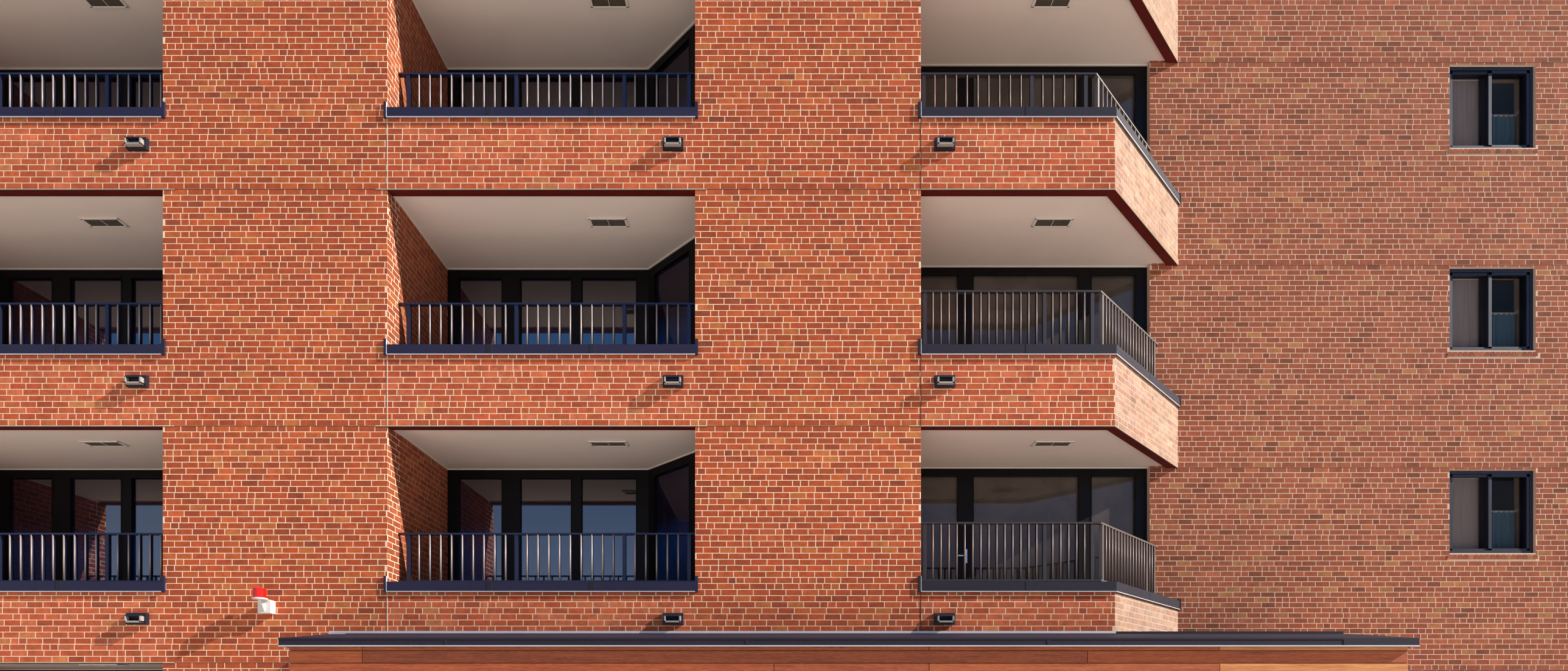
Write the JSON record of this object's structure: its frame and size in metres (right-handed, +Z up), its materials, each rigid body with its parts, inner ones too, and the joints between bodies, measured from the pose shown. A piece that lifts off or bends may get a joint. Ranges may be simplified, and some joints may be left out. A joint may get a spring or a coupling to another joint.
{
  "type": "apartment block",
  "caption": "Low brick apartment block with recessed balconies, an angled corner balcony, a timber clad entrance box and a flat roof.",
  "frame": {"origin": "on the ground, in the middle of the outline of the whole block", "axes": "+X along the front to the right, +Y into the building, +Z up"},
  "size_m": [24.333, 11.96, 11.34],
  "materials": {
    "brick": "rough red brick with pale mortar",
    "concrete": "plain concrete",
    "dark_metal": "satin paint",
    "lintel_steel": "dark red primer",
    "soffit_board": "matt paint",
    "pale_metal": "satin paint",
    "rail_metal": "satin paint",
    "frame_metal": "satin paint",
    "glass": "clear",
    "handle_steel": "brushed",
    "hood_metal": "satin paint",
    "timber": "oiled boards",
    "flashing": "mill finish",
    "alarm_white": "moulded",
    "alarm_red": "glossy"
  },
  "bodies": {
    "root": {"interior_slabs": "concrete", "loggia_slabs": "concrete", "corner_slabs": "concrete", "porch_floor": "concrete", "left_pier": "brick", "middle_pier": "brick", "right_pier": "brick", "loggia_side_walls": "brick", "left_party_wall": "brick", "right_party_wall": "brick", "back_wall": "brick", "set_back_wall": "brick", "left_spandrels": "brick", "middle_spandrels": "brick", "corner_spandrels": "brick", "angled_spandrels": "brick", "left_caps": "dark_metal", "middle_caps": "dark_metal", "corner_caps": "dark_metal", "angled_caps": "dark_metal", "lintels": "lintel_steel", "soffit_panels": "soffit_board", "soffit_grilles": "pale_metal", "left_railings": "rail_metal", "middle_railings": "rail_metal", "corner_railings": "rail_metal", "angled_railings": "rail_metal", "loggia_frames": "frame_metal", "side_screens": "frame_metal", "corner_frames": "frame_metal", "balcony_glass": "glass", "door_handles": "handle_steel", "wall_windows": "frame_metal", "window_glass": "glass", "window_sills": "brick", "vent_hoods": "hood_metal", "timber_front": "timber", "timber_sides": "timber", "box_roof": "dark_metal", "box_roof_side": "dark_metal", "roof_flashing": "flashing", "entrance_doors": "frame_metal", "entrance_glass": "glass", "alarm_bracket": "alarm_white", "alarm_lens": "alarm_red", "parapet_coping": "dark_metal"}
  },
  "joints": []
}
